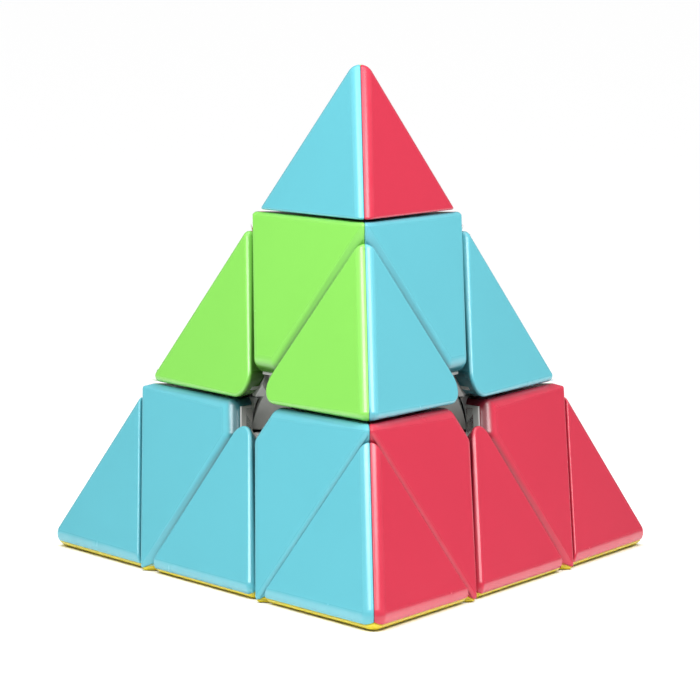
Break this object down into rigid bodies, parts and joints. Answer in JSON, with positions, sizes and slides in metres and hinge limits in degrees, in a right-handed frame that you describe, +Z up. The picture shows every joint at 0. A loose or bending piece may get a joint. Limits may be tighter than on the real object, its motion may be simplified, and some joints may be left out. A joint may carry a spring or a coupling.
{
  "type": "pyramid twisty puzzle",
  "caption": "Pyramid twisty puzzle with coloured faces, whose corner layers and corner tips turn on a spring-loaded inner core.",
  "frame": {"origin": "the centre of the core, where the turning axes of the corner layers meet; it is also the puzzle's centre of volume, and lies 21.0 mm above the base face", "axes": "+Z up through the top corner, square to the base face; the front corner is towards -Y, the left corner towards -X and +Y, and the right corner towards +X and +Y"},
  "size_m": [0.099, 0.0861, 0.0809],
  "materials": {
    "blue_cap": "satin light blue plastic, coloured through",
    "red_cap": "satin red plastic, coloured through",
    "green_cap": "satin light green plastic, coloured through",
    "yellow_cap": "satin yellow plastic, coloured through",
    "base_grey": "light grey plastic",
    "core_grey": "light grey plastic",
    "steel": "plain steel"
  },
  "bodies": {
    "core": {"core": "core_grey", "core_screws": "steel", "core_springs": "steel", "core_washers": "steel"},
    "top_centre": {"top_centre_base": "base_grey", "top_centre_left_cap": "green_cap", "top_centre_right_cap": "blue_cap", "top_centre_back_cap": "red_cap"},
    "front_centre": {"front_centre_base": "base_grey", "front_centre_left_cap": "blue_cap", "front_centre_right_cap": "red_cap", "front_centre_bottom_cap": "yellow_cap"},
    "left_centre": {"left_centre_base": "base_grey", "left_centre_left_cap": "blue_cap", "left_centre_back_cap": "green_cap", "left_centre_bottom_cap": "yellow_cap"},
    "right_centre": {"right_centre_base": "base_grey", "right_centre_right_cap": "red_cap", "right_centre_back_cap": "green_cap", "right_centre_bottom_cap": "yellow_cap"},
    "top_tip": {"top_tip_base": "base_grey", "top_tip_left_cap": "blue_cap", "top_tip_right_cap": "red_cap", "top_tip_back_cap": "green_cap"},
    "front_tip": {"front_tip_base": "base_grey", "front_tip_left_cap": "blue_cap", "front_tip_right_cap": "red_cap", "front_tip_bottom_cap": "yellow_cap"},
    "left_tip": {"left_tip_base": "base_grey", "left_tip_left_cap": "blue_cap", "left_tip_back_cap": "green_cap", "left_tip_bottom_cap": "yellow_cap"},
    "right_tip": {"right_tip_base": "base_grey", "right_tip_right_cap": "red_cap", "right_tip_back_cap": "green_cap", "right_tip_bottom_cap": "yellow_cap"},
    "top_front_edge": {"top_front_edge_foot": "base_grey", "top_front_edge_left_cap": "green_cap", "top_front_edge_right_cap": "blue_cap"},
    "top_left_edge": {"top_left_edge_foot": "base_grey", "top_left_edge_left_cap": "green_cap", "top_left_edge_back_cap": "red_cap"},
    "top_right_edge": {"top_right_edge_foot": "base_grey", "top_right_edge_right_cap": "blue_cap", "top_right_edge_back_cap": "red_cap"},
    "front_left_edge": {"front_left_edge_foot": "base_grey", "front_left_edge_left_cap": "blue_cap", "front_left_edge_bottom_cap": "yellow_cap"},
    "front_right_edge": {"front_right_edge_foot": "base_grey", "front_right_edge_right_cap": "red_cap", "front_right_edge_bottom_cap": "yellow_cap"},
    "left_right_edge": {"left_right_edge_foot": "base_grey", "left_right_edge_back_cap": "green_cap", "left_right_edge_bottom_cap": "yellow_cap"}
  },
  "joints": [
    {"name": "top_layer_turn", "type": "hinge", "parent": "core", "child": "top_centre", "pos_m": [0, 0, 0], "axis": [0, 0, 1], "range_deg": [-360, 480]},
    {"name": "front_layer_turn", "type": "hinge", "parent": "core", "child": "front_centre", "pos_m": [0, 0, 0], "axis": [0, -0.9428, -0.3333], "range_deg": [-360, 480]},
    {"name": "left_layer_turn", "type": "hinge", "parent": "core", "child": "left_centre", "pos_m": [0, 0, 0], "axis": [-0.8165, 0.4714, -0.3333], "range_deg": [-360, 480]},
    {"name": "right_layer_turn", "type": "hinge", "parent": "core", "child": "right_centre", "pos_m": [0, 0, 0], "axis": [0.8165, 0.4714, -0.3333], "range_deg": [-360, 480]},
    {"name": "top_tip_turn", "type": "hinge", "parent": "top_centre", "child": "top_tip", "pos_m": [0, 0, 0], "axis": [0, 0, 1], "continuous": true},
    {"name": "front_tip_turn", "type": "hinge", "parent": "front_centre", "child": "front_tip", "pos_m": [0, 0, 0], "axis": [0, -0.9428, -0.3333], "continuous": true},
    {"name": "left_tip_turn", "type": "hinge", "parent": "left_centre", "child": "left_tip", "pos_m": [0, 0, 0], "axis": [-0.8165, 0.4714, -0.3333], "continuous": true},
    {"name": "right_tip_turn", "type": "hinge", "parent": "right_centre", "child": "right_tip", "pos_m": [0, 0, 0], "axis": [0.8165, 0.4714, -0.3333], "continuous": true},
    {"name": "top_front_edge_with_front_layer", "type": "hinge", "parent": "top_centre", "child": "top_front_edge", "pos_m": [0, 0, 0], "axis": [0, -0.9428, -0.3333], "range_deg": [-360, 480]},
    {"name": "top_left_edge_with_left_layer", "type": "hinge", "parent": "top_centre", "child": "top_left_edge", "pos_m": [0, 0, 0], "axis": [-0.8165, 0.4714, -0.3333], "range_deg": [-360, 480]},
    {"name": "top_right_edge_with_right_layer", "type": "hinge", "parent": "top_centre", "child": "top_right_edge", "pos_m": [0, 0, 0], "axis": [0.8165, 0.4714, -0.3333], "range_deg": [-360, 480]},
    {"name": "front_left_edge_with_front_layer", "type": "hinge", "parent": "left_centre", "child": "front_left_edge", "pos_m": [0, 0, 0], "axis": [0, -0.9428, -0.3333], "range_deg": [-360, 480]},
    {"name": "front_right_edge_with_right_layer", "type": "hinge", "parent": "front_centre", "child": "front_right_edge", "pos_m": [0, 0, 0], "axis": [0.8165, 0.4714, -0.3333], "range_deg": [-360, 480]},
    {"name": "left_right_edge_with_left_layer", "type": "hinge", "parent": "right_centre", "child": "left_right_edge", "pos_m": [0, 0, 0], "axis": [-0.8165, 0.4714, -0.3333], "range_deg": [-360, 480]}
  ],
  "couplings": [
    {"joint": "top_front_edge_with_front_layer", "follows": "front_layer_turn", "ratio": 1},
    {"joint": "top_left_edge_with_left_layer", "follows": "left_layer_turn", "ratio": 1},
    {"joint": "top_right_edge_with_right_layer", "follows": "right_layer_turn", "ratio": 1},
    {"joint": "front_left_edge_with_front_layer", "follows": "front_layer_turn", "ratio": 1},
    {"joint": "front_right_edge_with_right_layer", "follows": "right_layer_turn", "ratio": 1},
    {"joint": "left_right_edge_with_left_layer", "follows": "left_layer_turn", "ratio": 1}
  ]
}
